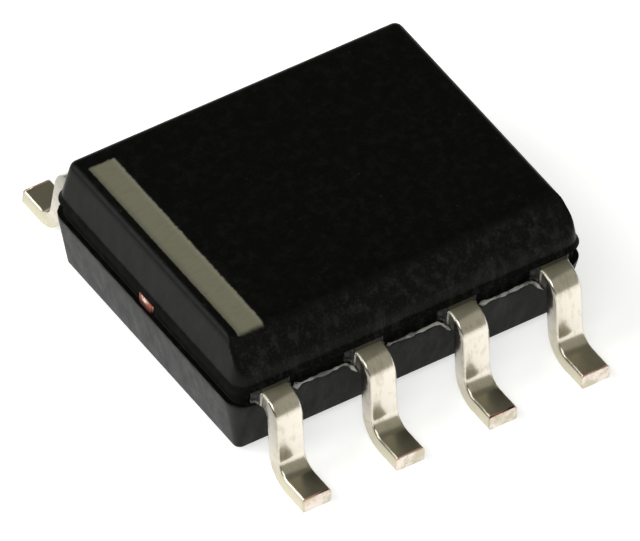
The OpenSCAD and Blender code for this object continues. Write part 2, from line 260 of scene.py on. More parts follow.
class Finish:
    """A material and its shader nodes."""

    def __init__(self, name):
        self.material = bpy.data.materials.new(name)
        self.material.use_nodes = True
        self.tree = self.material.node_tree
        self.tree.nodes.clear()

    def add(self, kind, settings=None, inputs=None, output=0):
        """Adds a node: its settings first, then the values or wires of its inputs. Returns one output."""
        made = self.tree.nodes.new("ShaderNode" + kind)
        for name, value in (settings or {}).items():
            setattr(made, name, value)
        for name, value in (inputs or {}).items():
            if isinstance(value, Wire):
                self.tree.links.new(value.socket, made.inputs[name])
            else:
                made.inputs[name].default_value = value
        return Wire(self, made.outputs[output] if made.outputs else None)

    def place(self):
        """The point on the piece, in millimetres."""
        point = self.add("TexCoord", output="Object")
        return self.add("VectorMath", {"operation": "SCALE"}, {0: point, "Scale": 1 / MM})

    def axes(self, point):
        """The point's three numbers."""
        return [self.add("SeparateXYZ", inputs={0: point}, output=i) for i in range(3)]

    def stretched(self, point, x, y, z):
        """The point with each of its numbers scaled."""
        return self.add("VectorMath", {"operation": "MULTIPLY"}, {0: point, 1: (x, y, z)})

    def noise(self, point, scale, detail=3.0, rough=0.55):
        """Noise from about 0.3 to 0.7, with scale features in a millimetre."""
        inputs = {"Vector": point, "Scale": scale, "Detail": detail, "Roughness": rough}
        return self.add("TexNoise", {"noise_dimensions": "3D"}, inputs)

    def specks(self, point, scale, radius):
        """1 inside small round specks that lie in some of the cells of a pattern."""
        near = self.add("TexVoronoi", inputs={"Vector": point, "Scale": scale})
        cell = self.add("TexVoronoi", inputs={"Vector": point, "Scale": scale}, output="Color")
        pick = self.add("SeparateColor", inputs={0: cell})
        return near.below(radius, radius * 0.6) * pick.above(0.72, 0.05)

    def mix(self, mask, first, second):
        """first where mask is 0, second where it is 1. Both are colours."""
        first, second = (c if isinstance(c, Wire) else (*c[:3], 1.0) for c in (first, second))
        settings = {"data_type": "RGBA", "clamp_factor": True}
        return self.add("Mix", settings, {0: mask, 6: first, 7: second}, output=2)

    def bump(self, height, depth):
        """A normal from a height of 0 to 1 that stands for depth metres."""
        return self.add("Bump", inputs={"Strength": 1.0, "Distance": depth, "Height": height})

    def close(self, shader):
        """Closes the material with the given shader."""
        self.add("OutputMaterial", inputs={"Surface": shader})
        return self.material

    def surface(self, **inputs):
        """Closes the material with a Principled shader."""
        named = {name.replace("_", " "): value for name, value in inputs.items()}
        if "Base Color" in named and not isinstance(named["Base Color"], Wire):
            named["Base Color"] = (*named["Base Color"][:3], 1.0)
        return self.close(self.add("BsdfPrincipled", inputs=named))


def rounded(corners, radii, steps):
    """A line through corners, given as pairs, with an arc of the given radius at each bend."""
    corners = [Vector(c) for c in corners]
    line = [corners[0]]
    for before, corner, after, radius in zip(corners, corners[1:], corners[2:], radii):
        back, ahead = (before - corner).normalized(), (after - corner).normalized()
        half = back.angle(ahead) / 2
        centre = corner + (back + ahead).normalized() * (radius / math.sin(half))
        first = corner + back * (radius / math.tan(half)) - centre
        last = corner + ahead * (radius / math.tan(half)) - centre
        turn = first.angle(last)
        for step in range(steps + 1):
            t = step / steps
            line.append(centre + (first * math.sin((1 - t) * turn) + last * math.sin(t * turn)) / math.sin(turn))
    line.append(corners[-1])
    return line


def divided(line, pitch, least=0.0, whole=round):
    """The line with more points, about a pitch apart, on the stretches that are longer than least."""
    out = [line[0]]
    for point in line[1:]:
        start = out[-1].copy()
        gap = (point - start).length
        parts = max(1, whole(gap / pitch)) if gap > least else 1
        out += [start.lerp(point, (i + 1) / parts) for i in range(parts)]
    return out


def headings(line):
    """The line's direction at each of its points."""
    return [(after - before).normalized() for before, after in zip(line[:1] + line, line[1:] + line[-1:])]


def skin(bm, rings, caps=(True, True)):
    """Joins rings of points, which have as many points each, into a tube with closed ends."""
    loops = [[bm.verts.new(p) for p in ring] for ring in rings]
    for lower, upper in zip(loops, loops[1:]):
        for i in range(len(lower)):
            j = (i + 1) % len(lower)
            bm.faces.new((lower[i], lower[j], upper[j], upper[i]))
    if caps[0]:
        bm.faces.new(loops[0][::-1])
    if caps[1]:
        bm.faces.new(loops[-1])
    return loops


def finish_piece(name, bm, material, replaced=()):
    """Turns a mesh into a named piece that rides on the part."""
    bmesh.ops.remove_doubles(bm, verts=bm.verts, dist=0.05 * MICRON)
    bmesh.ops.recalc_face_normals(bm, faces=bm.faces)
    mesh = bpy.data.meshes.new(name)
    bm.to_mesh(mesh)
    bm.free()
    mesh.shade_smooth()
    piece = bpy.data.objects.new(name, mesh)
    bpy.context.scene.collection.objects.link(piece)
    mesh.materials.append(material)
    weighted = piece.modifiers.new("Flat faces stay flat", "WEIGHTED_NORMAL")
    weighted.mode = "FACE_AREA"
    weighted.weight = 100
    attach(piece, ROOT)
    if replaced:
        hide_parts(*replaced)
    return piece


def soft_max(a, b, soft):
    """The larger of two values, with a rounded change from one to the other."""
    return (a + b + math.hypot(a - b, soft)) / 2


def stops(low, high, pitch, extra=()):
    """Even stops from low to high, without those that crowd the extra ones."""
    count = max(2, round((high - low) / pitch))
    even = [low + (high - low) * i / count for i in range(count + 1)]
    kept = [v for v in even if v in (low, high) or all(abs(v - e) > pitch * 0.4 for e in extra)]
    return sorted(kept + list(extra))


class Moulding:
    """The outside of the moulded body, as rings of points from its underside to its top."""

    ARC = 8
    LEVELS = 5

    def __init__(self, s):
        self.s = s
        self.half_x, self.half_y = BODY_HIGH.x, s.width / 2
        self.base, self.top = BODY_LOW.z, BODY_HIGH.z
        lean = math.tan(s.draft)
        self.rim_low, self.rim_high = FRAME_BASE, FRAME_TOP
        strip = s.step + s.recess
        self.top_inset = s.step + (self.top - FRAME_TOP) * lean
        self.edge_y = -(self.half_y - self.top_inset - s.bevel)
        edge = s.edge_break
        self.stripe_left = -(self.half_x - self.top_inset - edge) + s.stripe_inset
        self.stripe_right = self.stripe_left + s.stripe_width
        self.stripe_end = self.half_y - self.top_inset - edge - s.stripe_margin
        corners = [
            (self.half_x / 2, self.base),
            ((self.rim_low - self.base) * lean, self.base),
            (0, self.rim_low),
            (strip, self.rim_low),
            (strip, self.rim_high),
            (s.step * 0.1, self.rim_high),
            (s.step + s.rim_flare * lean, self.rim_high + s.rim_flare),
            (self.top_inset, self.top),
            (self.half_x / 2, self.top),
        ]
        small = s.rim_round
        radii = [s.base_round, small, small, small, small, s.rim_flare * 0.3, s.top_round]
        self.profile = rounded(corners, radii, self.LEVELS)[1:-1]

    def level_rings(self):
        """The profile with more levels where the walls are tall."""
        return divided(self.profile, 0.05 * MM, 0.1 * MM, math.ceil)

    def corner_radius(self, inset):
        """The radius of the upright corners where the wall stands back by inset, never under 0.02 mm."""
        return max(0.02 * MM, self.s.corner - inset)

    def near_line(self, level):
        """Where the bevel's plane is at a level, on the side of lead 1."""
        return self.edge_y - (self.top - level)

    def ring(self, inset, level, xs, ys):
        """One ring of points, starting at the near left corner. xs and ys run from -1 to 1 along the straights."""
        radius = self.corner_radius(inset)
        a, b = self.half_x - inset, self.half_y - inset
        la, lb = a - radius, b - radius
        points = []
        for side in range(4):
            turn = side * math.pi / 2
            spread, reach, along = ((la, b, xs), (lb, a, ys))[side % 2]
            flat = [(v * spread, -reach) for v in (along if side < 2 else [-v for v in along[::-1]])]
            arc = []
            for i in range(1, self.ARC):
                t = math.pi / 2 * i / self.ARC
                arc.append((spread + radius * math.sin(t), -reach + radius - radius * math.cos(t)))
            c, k = math.cos(turn), math.sin(turn)
            points += [(x * c - y * k, x * k + y * c) for x, y in flat + arc]
        return self.bevelled(points, level)

    def bevelled(self, points, level):
        """The points, held behind the bevel's plane, with the bevel's upper edge rounded."""
        if level < self.rim_high + 2 * self.s.rim_round:
            return [Vector((x, y, level)) for x, y in points]
        line = self.near_line(level)
        return [self.settled(Vector((x, soft_max(y, line, self.s.bevel_round / 3), level))) for x, y in points]

    def settled(self, point):
        """Lowers a point near the bevel's upper edge, so that the edge is round."""
        over = self.top + point.y - self.edge_y
        point.z = min(point.z, -soft_max(-self.top, -over, self.s.bevel_round))
        return point


def roughen(point, amount, scale):
    """A repeatable small offset for a point of an uneven edge."""
    return noise.noise(point * (scale / MM)) * amount


def tear(point):
    """Moves a point of a rim inwards and up or down, so that the rim is slightly uneven."""
    ragged = roughen(point, 9 * MICRON, 14) + roughen(point, 7 * MICRON, 45)
    point -= Vector((point.x, point.y, 0)).normalized() * (abs(ragged) + MICRON)
    point.z += roughen(point + Vector((1, 0, 0)), 5 * MICRON, 20)


def build_moulding(s):
    """The mesh of the moulded body."""
    shape = Moulding(s)
    levels = shape.level_rings()
    last = levels[-1].x + shape.corner_radius(levels[-1].x)
    top_reach, side_reach = shape.half_x - last, shape.half_y - last
    # The stripe's own edges, a few microns wide, and the bevel's rounded edge get stops of their own
    wall = 4 * MICRON
    marks = [v / top_reach for e in (shape.stripe_left, shape.stripe_right) for v in (e - wall, e + wall)]
    xs = stops(-1, 1, 0.024, marks)
    edge = [shape.edge_y + s.bevel_round * k for k in (0.15, 0.4, 0.8, 1.4, 2.2)]
    ys = stops(-1, 1, 0.03, [v / side_reach for v in (*edge, shape.stripe_end - wall, shape.stripe_end + wall)])
    bm = bmesh.new()
    rings = []
    for inset, level in levels:
        ring = shape.ring(inset, level, xs, ys)
        outer = inset < s.step + 2 * s.rim_round
        if outer and min(abs(level - shape.rim_low), abs(level - shape.rim_high)) < 1.4 * s.rim_round:
            for point in ring:
                tear(point)
        rings.append(ring)
    loops = skin(bm, rings, (False, False))
    cap_top(bm, loops[-1], xs, ys, shape)
    cap_base(bm, loops[0], s, shape.base)
    for v in bm.verts:
        across = shape.stripe_left - wall / 2 < v.co.x < shape.stripe_right + wall / 2
        if across and v.co.y < shape.stripe_end + wall / 2:
            v.co.z -= s.stripe_depth * max(0.0, 1 - (shape.top - v.co.z) / s.bevel_round)
    return bm, shape


def cap_top(bm, loop, xs, ys, shape):
    """Closes the top with a grid that follows the last ring."""
    nx, ny, arc = len(xs), len(ys), shape.ARC - 1
    sides, at = [], 0
    for count in (nx, ny, nx, ny):
        sides.append((loop[at:at + count], loop[at + count:at + count + arc]))
        at += count + arc
    near, right, far, left = sides
    margin = shape.corner_radius(shape.top_inset) / 2
    low_y, far_y = near[0][0].co.y + MICRON, far[0][0].co.y - margin
    grid = []
    for beside in right[0]:
        y = min(max(beside.co.y, low_y), far_y)
        grid.append([bm.verts.new(shape.settled(Vector((v.co.x, y, shape.top)))) for v in near[0]])
    for j in range(ny - 1):
        for i in range(nx - 1):
            bm.faces.new((grid[j][i], grid[j][i + 1], grid[j + 1][i + 1], grid[j + 1][i]))
    for i in range(nx - 1):
        bm.faces.new((near[0][i], near[0][i + 1], grid[0][i + 1], grid[0][i]))
        bm.faces.new((far[0][i], far[0][i + 1], grid[-1][nx - 2 - i], grid[-1][nx - 1 - i]))
    for j in range(ny - 1):
        bm.faces.new((right[0][j], right[0][j + 1], grid[j + 1][-1], grid[j][-1]))
        bm.faces.new((left[0][j], left[0][j + 1], grid[ny - 2 - j][0], grid[ny - 1 - j][0]))
    corners = [
        (near, right, grid[0][-1]), (right, far, grid[-1][-1]),
        (far, left, grid[-1][0]), (left, near, grid[0][0]),
    ]
    for before, after, hub in corners:
        chain = [before[0][-1]] + before[1] + [after[0][0]]
        for a, b in zip(chain, chain[1:]):
            bm.faces.new((hub, a, b))


def cap_base(bm, loop, s, level):
    """Closes the underside, with the ejector pin's round mark in it."""
    steps = 48
    radius = s.ejector / 2
    # The mark's softened edge, the top of its wall and its floor
    circles = []
    for reach, depth in ((radius + 6 * MICRON, 0), (radius, 5 * MICRON), (radius, s.ejector_depth)):
        circles.append([bm.verts.new((x, y, level + depth)) for x, y in circle(0, 0, reach, steps)])
    for low, high in zip(circles, circles[1:]):
        for i in range(steps):
            j = (i + 1) % steps
            bm.faces.new((low[j], low[i], high[i], high[j]))
    bm.faces.new(circles[-1][::-1])
    pairs = [pair for ring in (loop, circles[0]) for pair in zip(ring, ring[1:] + ring[:1])]
    edges = [bm.edges.get(pair) for pair in pairs]
    bmesh.ops.triangle_fill(bm, use_beauty=True, edges=edges)


def compound_finish(s, shape):
    """Black moulding compound with the etched stripe. Lengths are in millimetres."""
    f = Finish("moulding_compound")
    p = f.place()
    x, y, z = f.axes(p)
    soft = 0.024
    left, right, end = (v / MM for v in (shape.stripe_left, shape.stripe_right, shape.stripe_end))
    top, rim_low, rim_high = (v / MM for v in (shape.top, shape.rim_low, shape.rim_high))
    grain = f.noise(p, 34, 4, 0.65)
    cloud = f.noise(f.stretched(p, 1, 1, 0.5), 2.6, 3)
    streak = f.noise(f.stretched(p, 1, 1, 0.22), 9, 3, 0.6)
    spark = f.specks(p, 6, 0.1)
    # The stripe, with slightly ragged edges and fine lines across it
    ragged = (f.noise(p, 16, 3) - 0.5) * 0.03
    band = (x + ragged).above(left - soft / 2, soft) * (x + ragged).below(right + soft / 2, soft)
    band = band * (y + ragged).below(end + soft / 2, soft)
    band = band * (y + ragged * 2).above(shape.edge_y / MM - 0.05, 0.07)
    stripe = band * z.above(top - 0.09, 0.06)
    scan = f.noise(f.stretched(p, 0.2, 1, 1), 30, 2)
    # Scuffs, which are faint on the top and strong on the long faces
    side = z.below(top - 0.02, 0.1)
    end_face = abs(x).above(shape.half_x / MM - 0.2, 0.06)
    long_face = side * (1 - end_face)
    wear = (streak.above(0.45, 0.25) * 0.5 + grain.above(0.5, 0.18) * 0.5) * (0.22 + long_face * 0.8)
    black = f.mix((wear + spark * 0.6) * (0.4 + cloud), s.compound, s.worn)
    pale = f.mix(scan.above(0.42, 0.25) * 0.35 + grain * 0.3, s.etched, [c * 0.8 for c in s.etched])
    base = f.mix(stripe, black, pale)
    # Dull rims, and gloss that changes from patch to patch
    dusty = z.above(rim_low, 0.01) * (z + ragged).below(rim_high + 0.11, 0.05)
    patchy = f.noise(f.stretched(p, 1, 1, 0.6), 6, 4, 0.7)
    rough = 0.17 + grain * 0.12 + patchy * 0.36 + stripe * 0.3 + long_face * 0.16 + dusty * 0.5
    height = grain * 0.8 + streak * 0.6 * long_face + scan * stripe * 0.5
    return f.surface(
        Base_Color=base, Roughness=rough, Specular_IOR_Level=0.12, Normal=f.bump(height, 1.6 * MICRON)
    )


def flash_finish(s):
    """Flash of the same compound: dark on the webs, and pale and brownish on the bead along the lower rim, where the
    pale colour is a painted highlight of the rim's edge.
    """
    f = Finish("flash_with_painted_highlight")
    p = f.place()
    z = f.axes(p)[2]
    fine, patch = f.noise(p, 40, 3), f.noise(p, 7, 3, 0.6)
    # Painted highlight: low down, the bead along the lower rim takes the pale colour, and the webs above stay dark
    # compound.
    pale = f.mix(patch.above(0.4, 0.2), [c * 0.35 for c in s.thin], s.thin)
    rim = z.below(FRAME_BASE / MM + 0.05, 0.02)
    base = f.mix(rim, s.worn, pale)
    return f.surface(
        Base_Color=base, Roughness=0.42 + fine * 0.2, Specular_IOR_Level=0.4, Normal=f.bump(fine, 2 * MICRON)
    )


def plating_finish(s):
    """Bright tin plate, darkened by painted shade on the feet, beside the body and on the leads' sides, with copper
    showing on the leads' cut ends.

    Lengths are in millimetres.
    """
    f = Finish("tin_plate")
    p = f.place()
    x, y, z = f.axes(p)
    toe, pitch, edge = TOE / MM, PITCH / MM, s.width / MM / 2
    fine, patch = f.noise(p, 55, 3, 0.6), f.noise(p, 6, 3, 0.6)
    smear = f.noise(f.stretched(p, 1, 0.35, 0.35), 20, 2)
    # The cut ends, where most of the tin is missing, and the coppery lip over them
    cut = (abs(y) + (smear - 0.5) * 0.008).above(toe - 0.012, 0.008)
    bare = cut * (patch * 0.6 + fine * 0.4).above(0.42, 0.16)
    lip = (abs(y) + (patch - 0.5) * 0.12).above(toe - 0.07, 0.06) * z.above(0.16, 0.03) * 0.6
    # Smudges and stains, placed across each lead, and painted shade that darkens each lead towards its left side
    across = (x / pitch).math("FRACT") * pitch - pitch / 2
    smudge = ((across + 0.1) ** 2 + ((z - 0.43) * 0.8) ** 2) + (patch - 0.5) * 0.006
    smudge = smudge.below(0.0034, 0.003) * 0.15
    # Painted shade: each lead darkens towards its left (-X) side.
    side_shade = (0.17 - across) * 0.7
    stain_and_shade = (smear * 0.5 + patch * 0.5).above(0.5, 0.12) * 0.3 + smudge + side_shade
    stained_and_shaded = [c * k for c, k in zip(s.tin, (0.6, 0.56, 0.46))]
    tin = f.mix(stain_and_shade, s.tin, stained_and_shaded)
    # Painted shade that darkens the tin beside the body and on the feet, and darkens the leads' sides
    bend = (s.exit_side + s.shoulder + s.bend * 1.5) / MM
    # Painted shade: the shoulders near the body and the feet take the darker tin.
    shaded = (abs(y) + (smear - 0.5) * 0.03).below(bend, 0.12)
    foot = z.below(0.36, 0.2)
    tin = f.mix((shaded * 0.85).math("MAXIMUM", foot * 0.75), tin, s.shaded_tin)
    # Painted shade: the leads' sides are darkened, more the higher they are.
    sheared = abs(across).above(edge - 0.03, 0.02) * (z - 0.15) * 0.9 * (1 - cut)
    tin = f.mix(sheared, tin, s.sheared)
    base = f.mix(bare, f.mix(lip, tin, s.copper), s.smeared)
    rough = 0.15 + patch * 0.12 + foot * 0.1 + shaded * 0.2 + cut * 0.2 + smudge * 0.2
    height = fine * 0.5 + smear * 0.8
    return f.surface(Base_Color=base, Metallic=1.0, Roughness=rough, Normal=f.bump(height, 0.8 * MICRON))


def metal_finish(name, tint, rough, depth):
    """A bare metal with a fine grain and uneven tarnish."""
    f = Finish(name)
    p = f.place()
    fine, patch = f.noise(p, 40, 3), f.noise(p, 5, 3, 0.6)
    tarnished = [c * 0.7 for c in tint]
    base = f.mix(patch.above(0.42, 0.25), tint, tarnished)
    return f.surface(
        Base_Color=base, Metallic=1.0, Roughness=rough + patch * 0.15, Normal=f.bump(fine, depth * MICRON)
    )


def copper_finish(s):
    """Bare copper, reddish where a tie bar was torn off, bright in the middle of that end, and darkened below it by a
    painted shadow.
    """
    f = Finish("bare_copper")
    p = f.place()
    x, y, z = f.axes(p)
    fine, patch = f.noise(p, 40, 3), f.noise(p, 5, 3, 0.6)
    torn = abs(x).above(PAD_HIGH.x / MM - 0.03, 0.015)
    # Painted shadow: the lower part of the torn end is darkened.
    low = z.below((FRAME_TOP - s.thickness * 0.55) / MM + 0.03, 0.06)
    bright = f.mix(patch.above(0.42, 0.25), s.copper, [c * 0.75 for c in s.copper])
    level = (FRAME_TOP - s.thickness * 0.35) / MM
    from_middle = (y * 8) ** 2 + ((z - level) * 13) ** 2 + (fine - 0.5) * 1.2
    red = [c * k for c, k in zip(s.copper, (0.45, 0.25, 0.22))]
    face = f.mix(from_middle.below(0.5, 0.7), red, (0.92, 0.78, 0.72))
    # The painted shadow's dark colour.
    face = f.mix(low, face, (0.12, 0.035, 0.025))
    base = f.mix(torn, bright, face)
    rough = 0.36 + patch * 0.15 + torn * 0.1
    return f.surface(Base_Color=base, Metallic=1.0, Roughness=rough, Normal=f.bump(fine, 1.6 * MICRON))


def lead_section(left, right, half, top_edge, low_edge, steps=4):
    """Points round a stamped strip's section, as (across, up), with rounded edges."""
    out = []
    for cx, cy, radius, start in (
        (right - low_edge, -half + low_edge, low_edge, -90),
        (right - top_edge, half - top_edge, top_edge, 0),
        (-left + top_edge, half - top_edge, top_edge, 90),
        (-left + low_edge, -half + low_edge, low_edge, 180),
    ):
        for i in range(steps + 1):
            t = math.radians(start + 90 * i / steps)
            out.append((cx + radius * math.cos(t), cy + radius * math.sin(t)))
    return out


def lead_stations(s, reach):
    """Points along a lead's middle line, as (outwards, up)."""
    half = s.thickness / 2
    shoulder_z, foot_z = FRAME_TOP - half, half
    radii = [s.bend + half, s.heel + half]
    first = s.shoulder + radii[0] * math.tan(s.leg / 2)
    second = first + (shoulder_z - foot_z) / math.tan(s.leg)
    line = rounded([(-s.neck, shoulder_z), (first, shoulder_z), (second, foot_z), (reach, foot_z)], radii, 16)
    # The dam bar stub begins and ends within a few microns
    stub = s.shoulder - s.stub_width
    ramp = 5 * MICRON
    extra = [stub - ramp, stub, stub + s.stub_width / 2, s.shoulder - ramp]
    shoulder = [Vector((v, shoulder_z)) for v in (-0.1 * MM, 0, 0.05 * MM, *extra)]
    out = line[:1] + shoulder[:-1] + divided(shoulder[-1:] + line[1:], 0.04 * MM, 0.06 * MM)
    out.insert(-1, out[-1] - Vector((6 * MICRON, 0)))
    return out


def row_point(place, turn, across, out, level):
    """A point in the frame of one lead: across it, outwards from the centre line, and up."""
    return Vector((turn * ((place - (ROW - 1) / 2) * PITCH + across), -turn * out, level))


def prism(bm, loops, low, high, put):
    """A closed plate with the given outline, and holes where loops has more. put places (x, y, level)."""
    levels = []
    for level in (low, high):
        made = [[bm.verts.new(put(x, y, level)) for x, y in loop] for loop in loops]
        edges = [bm.edges.new((ring[i - 1], ring[i])) for ring in made for i in range(len(ring))]
        bmesh.ops.triangle_fill(bm, use_beauty=True, edges=edges)
        levels.append(made)
    for below, above in zip(*levels):
        for i in range(len(below)):
            bm.faces.new((below[i - 1], below[i], above[i], above[i - 1]))


def circle(x, y, radius, count=24):
    """Points round a circle."""
    turns = [math.tau * i / count for i in range(count)]
    return [(x + radius * math.cos(t), y + radius * math.sin(t)) for t in turns]


def inner_outline(s, middle):
    """The plan of a lead's inner end, as (across, outwards from the centre line), and the hole in it."""
    half = s.width / 2
    out, neck, tip = s.exit_side, s.exit_side - s.neck, PAD_HIGH.y + s.gap
    if middle:
        wide = s.finger / 2
        line = [(-half, out), (half, out), (half, neck), (wide, neck - s.flare), (wide, tip), (-wide, tip)]
        return [line + [(-wide, neck - s.flare), (-half, neck)]]
    pad_end = PAD_HIGH.y * s.pad_shape
    inner = (ROW - 1) / 2 * PITCH - pad_end - s.gap
    line = [(-half, out), (half, out), (half, neck), (inner, neck - inner + half), (inner, s.corner_end)]
    line += [(inner - s.corner_tip, s.corner_end), (-half, tip)]
    return [line, circle(half / 2, neck - half, s.lock_hole / 2)]


def build_lead(s, number, place, turn):
    """The mesh of one formed lead."""
    chance = random.Random(40 + number)
    half = s.thickness / 2
    bm = bmesh.new()
    line = lead_stations(s, TOE - s.exit_side)
    stub = s.shoulder - s.stub_width
    rings = []
    for point, along in zip(line, headings(line)):
        up = Vector((-along.y, along.x))
        wide = [s.width / 2 + chance.uniform(-1.5, 1.5) * MICRON for _ in range(2)]
        if stub - MICRON < point.x < s.shoulder - 4 * MICRON and point.y > FRAME_TOP - s.thickness:
            wide = [w + s.stub * chance.uniform(0.6, 0.98) for w in wide]
        rings.append([
            row_point(place, turn, across, s.exit_side + point.x + up.x * height, point.y + up.y * height)
            for across, height in lead_section(*wide, half, s.edge, s.edge * 0.6)
        ])
    add_toe(rings, turn, number)
    skin(bm, rings)
    flip = -1 if place == ROW - 1 else 1
    # The inner end starts a little inside the strip, within the formed part's neck
    inset = 0.02 * MM
    prism(
        bm, inner_outline(s, place in (1, 2)), FRAME_TOP - s.thickness, FRAME_TOP,
        lambda x, y, z: row_point(place, turn, flip * x, y - inset, z),
    )
    return bm


def add_toe(rings, turn, seed):
    """Ends a lead with the slightly uneven face that the trimming tool leaves."""
    last = rings.pop()
    middle = sum(last, Vector()) / len(last)
    # What is left of the section at each ring, and how many microns the ring stands back
    for share_in, back in ((1.0, 7), (0.965, 2), (0.9, 1), (0.6, 2.5), (0.25, 3.5)):
        ring = []
        for p in last:
            q = middle.lerp(p, share_in)
            rough = roughen(q + Vector((seed, 0, 0)), 2.2 * MICRON, 9) * (share_in < 1)
            q.y += turn * (back * MICRON + abs(rough))
            ring.append(q)
        rings.append(ring)


def build_flash(s, t):
    """The mesh of the resin webs beside the leads, the flash on the lower rim and the gate's stub."""
    bm = bmesh.new()
    low, high = FRAME_TOP - t.thickness, FRAME_TOP
    edge, out, wide = t.width / 2, t.exit_side, s.fillet
    feather = wide / 6
    radius = wide - feather
    web = [(edge - s.step, out - s.recess), (edge - s.step, out + wide), (edge + feather, out + wide)]
    for i in range(9):
        turned = math.pi / 2 * i / 8
        web.append((edge + wide - radius * math.cos(turned), out + wide - radius * math.sin(turned)))
    web.append((edge + wide, out - s.recess))
    # The webs and the stub stay a few microns inside the sheet's faces, so that no two faces coincide
    for _, place, turn in PLACES:
        for side in (-1, 1):
            prism(bm, [web], low + MICRON, high - 2 * MICRON, lambda x, y, z: row_point(place, turn, side * x, y, z))
        if place < ROW - 1:
            add_bead(bm, s, t, place, turn)
    end, side = BODY_HIGH.x - s.step - s.recess, s.gate_width / 2
    gate = [(s.gate_offset - side, end - s.recess), (s.gate_offset + side, end - s.recess)]
    for i in range(13):
        x = s.gate_offset + (0.5 - i / 12) * s.gate_width
        gate.append((x, end + s.gate_stub * 0.9 + roughen(Vector((x, 0, 0)), 8 * MICRON, 16)))
    prism(bm, [gate], low + 2 * MICRON, high - 3 * MICRON, lambda x, y, z: Vector((y, x, z)))
    return bm


def add_bead(bm, s, t, place, turn):
    """The uneven bead of flash on the lower rim, from one lead to the next, where it runs out beside the lead."""
    level = FRAME_TOP - t.thickness + s.flash * 0.1
    out = s.width / 2 - s.flash * 0.35
    first, last = t.width / 2 + s.flash_gap, PITCH - t.width / 2 - s.flash * 1.2
    tail = s.flash_tail
    corners = [(first, out), (last, out), (last + s.flash, out + tail)]
    path = divided(rounded(corners, [tail * 0.5], 8), 0.02 * MM)
    rings = []
    for i, (point, along) in enumerate(zip(path, headings(path))):
        across = Vector((along.y, -along.x))
        here = Vector((point.x + place * PITCH * turn, point.y * turn, 0))
        swell = 1 + 0.9 * math.exp(-((i - 2) / 2.2) ** 2)
        thick = s.flash / 2 * (0.62 + roughen(here, 0.6, 9) + roughen(here, 0.4, 30)) * swell
        thick *= min(1, (i + 0.3) / 2, (len(path) - i) / 4)
        sag = s.flash * (0.3 * roughen(here, 1, 5) - 0.5 * max(0, (point.y - out) / tail))
        rings.append([
            row_point(
                place, turn, point.x + across.x * thick * math.cos(a), point.y + across.y * thick * math.cos(a),
                level + sag + thick * math.sin(a),
            )
            for a in (math.tau * k / 8 for k in range(8))
        ])
    skin(bm, rings)


def build_pad(s):
    """The mesh of the sunk die pad with its two stepped tie bars."""
    bm = bmesh.new()
    low, high = PAD_LOW.z, PAD_LOW.z + s.thickness
    half_x, half_y = PAD_HIGH.y * s.pad_shape, PAD_HIGH.y
    soft = s.edge * 0.6
    rings = []
    for inset, level in ((soft, low), (soft * 0.3, low + soft * 0.3), (0, low + soft), (0, high - soft),
                         (soft * 0.3, high - soft * 0.3), (soft, high)):
        a, b, radius = half_x - inset, half_y - inset, s.edge * 2
        ring = []
        for k, (cx, cy) in enumerate(((1, -1), (1, 1), (-1, 1), (-1, -1))):
            for i in range(5):
                turned = math.radians(-90 + 90 * k + 90 * i / 4)
                x = cx * (a - radius) + radius * math.cos(turned)
                y = cy * (b - radius) + radius * math.sin(turned)
                ring.append(Vector((x, y, level)))
        rings.append(ring)
    skin(bm, rings)
    half = s.thickness / 2
    foot = half_x + half
    head, tip = foot + s.tie_step, PAD_HIGH.x
    corners = [(half_x - s.tie_bar, low + half), (foot, low + half), (head, FRAME_TOP - half), (tip, FRAME_TOP - half)]
    bend = half * 1.3
    path = rounded(corners, [bend, bend], 6)
    section = lead_section(s.tie_bar / 2, s.tie_bar / 2, half, s.edge, s.edge)
    for turn in (1, -1):
        rings = []
        for point, along in zip(path, headings(path)):
            up = Vector((-along.y, along.x))
            rings.append([Vector((turn * (point.x + up.x * h), turn * a, point.y + up.y * h)) for a, h in section])
        add_sheared_end(rings, turn)
        skin(bm, rings)
    return bm


def add_sheared_end(rings, turn):
    """Ends a tie bar with the torn face that is left where it was sheared off."""
    last = rings.pop()
    middle = sum(last, Vector()) / len(last)
    for share_in, back in ((1.0, 16), (0.93, 9), (0.8, 4), (0.6, 2), (0.35, 1), (0.12, 1)):
        ring = []
        for p in last:
            q = middle.lerp(p, share_in)
            rough = roughen(q, 9 * MICRON, 13)
            q.x -= turn * (back * MICRON + abs(rough))
            q.z += roughen(q, 4 * MICRON, 20)
            ring.append(q)
        rings.append(ring)


class CHIP_OT_moulding(bpy.types.Operator):
    """Builds the moulded body with its bevel, rims and etched stripe"""

    bl_idname = "chip.moulding"
    bl_label = "Moulded body"

    def execute(self, context):
        s = context.scene.chip_moulding
        bm, shape = build_moulding(s)
        material = compound_finish(s, shape)
        finish_piece("moulding", bm, material, ["moulded_body"])
        return {"FINISHED"}


class CHIP_OT_leads(bpy.types.Operator):
    """Builds the eight formed leads"""

    bl_idname = "chip.leads"
    bl_label = "Leads"

    def execute(self, context):
        s = context.scene.chip_leads
        material = plating_finish(s)
        for number, place, turn in PLACES:
            bm = build_lead(s, number, place, turn)
            finish_piece(f"formed_lead_{number}", bm, material, [f"lead_{number}"])
        return {"FINISHED"}


class CHIP_OT_flash(bpy.types.Operator):
    """Builds the resin webs and the flash that trimming leaves beside the leads"""

    bl_idname = "chip.flash"
    bl_label = "Flash"

    def execute(self, context):
        s = context.scene.chip_moulding
        bm = build_flash(s, context.scene.chip_leads)
        finish_piece("resin_flash", bm, flash_finish(s))
        return {"FINISHED"}


class CHIP_OT_pad(bpy.types.Operator):
    """Builds the sunk die pad with its tie bars"""

    bl_idname = "chip.pad"
    bl_label = "Die pad"

    def execute(self, context):
        s = context.scene.chip_leads
        finish_piece("sunk_pad", build_pad(s), copper_finish(s), ["die_pad"])
        return {"FINISHED"}


